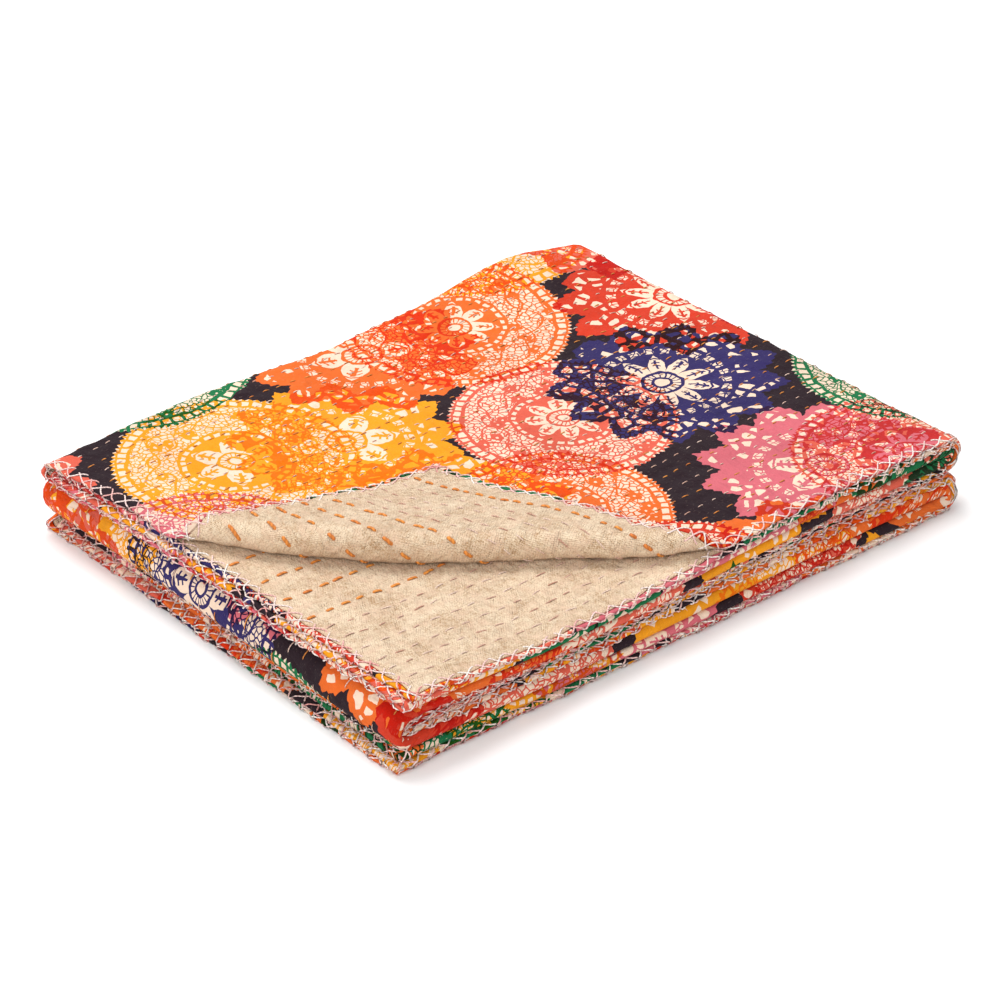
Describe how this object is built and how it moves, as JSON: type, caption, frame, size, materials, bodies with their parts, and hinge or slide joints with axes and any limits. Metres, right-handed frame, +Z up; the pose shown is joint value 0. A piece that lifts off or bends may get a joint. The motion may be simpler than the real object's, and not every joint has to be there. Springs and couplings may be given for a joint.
{
  "type": "folded kantha quilt",
  "caption": "Stitched throw of a printed cotton face and a plain coarse backing, folded in a flat pile with one corner of its top layer turned back.",
  "frame": {"origin": "on the surface the pile lies on, under the middle of the box around it", "axes": "+X along the pile's long side, +Y along its short side away from the turned-back corner, +Z up out of the surface"},
  "size_m": [0.4576, 0.357, 0.0682],
  "materials": {
    "printed_face": "matt printed cotton in oranges, corals, yellows, greens and blues on near-black, with cream lines and running stitches",
    "plain_backing": "matt coarse natural cotton with slubs and running stitches"
  },
  "bodies": {
    "root": {"printed_face": "printed_face", "plain_backing": "plain_backing"}
  },
  "joints": []
}
